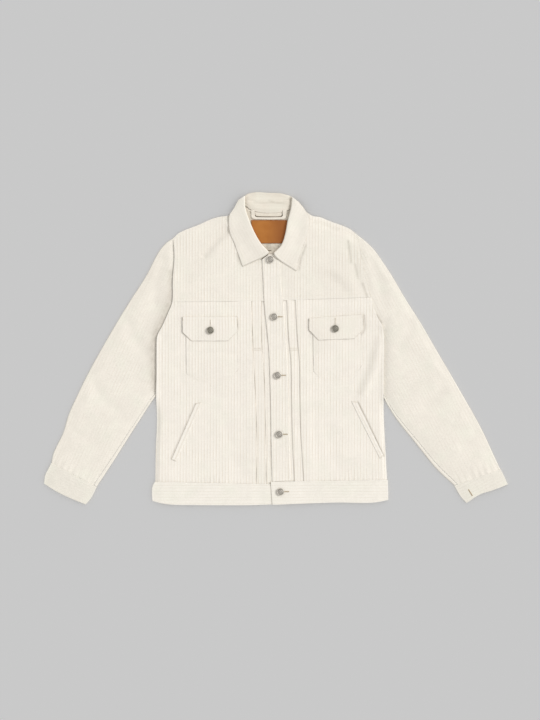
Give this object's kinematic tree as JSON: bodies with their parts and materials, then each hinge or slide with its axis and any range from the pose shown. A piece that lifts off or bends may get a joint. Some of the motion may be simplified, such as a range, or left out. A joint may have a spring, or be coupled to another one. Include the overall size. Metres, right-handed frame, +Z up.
{
  "type": "denim jacket",
  "caption": "Cream striped denim trucker jacket with pleated front, chest pockets and metal buttons, buttoned and laid flat with its front up.",
  "frame": {"origin": "middle of the outline to within 3 mm, on the surface that the jacket lies on", "axes": "+X towards the wearer's left sleeve, +Y towards the collar, +Z up, out of the jacket's front"},
  "size_m": [1.0936, 0.7385, 0.0141],
  "materials": {
    "denim": "one layer of striped cotton denim",
    "band": "two layers of the same denim sewn together",
    "leather": "bare tan leather",
    "metal": "aged grey shank buttons"
  },
  "bodies": {
    "root": {"back_panel": "denim", "back_yoke": "denim", "chest_pocket_left": "denim", "chest_pocket_right": "denim", "collar_back": "band", "collar_leaf_left": "band", "collar_leaf_right": "band", "cuff_left_under": "band", "cuff_left_upper": "band", "cuff_right_under": "band", "cuff_right_upper": "band", "flap_button_left": "metal", "flap_button_right": "metal", "flap_left": "band", "flap_right": "band", "front_button_1": "metal", "front_button_2": "metal", "front_button_3": "metal", "front_button_4": "metal", "front_button_5": "metal", "front_panel_left": "denim", "front_panel_right": "denim", "front_yoke_left": "denim", "front_yoke_right": "denim", "hanging_loop": "denim", "leather_patch": "leather", "placket": "denim", "top_sleeve_left": "denim", "top_sleeve_right": "denim", "under_sleeve_left": "denim", "under_sleeve_right": "denim", "waistband_back": "band", "waistband_front_left": "band", "waistband_front_right": "band", "welt_left": "band", "welt_right": "band"}
  },
  "joints": []
}
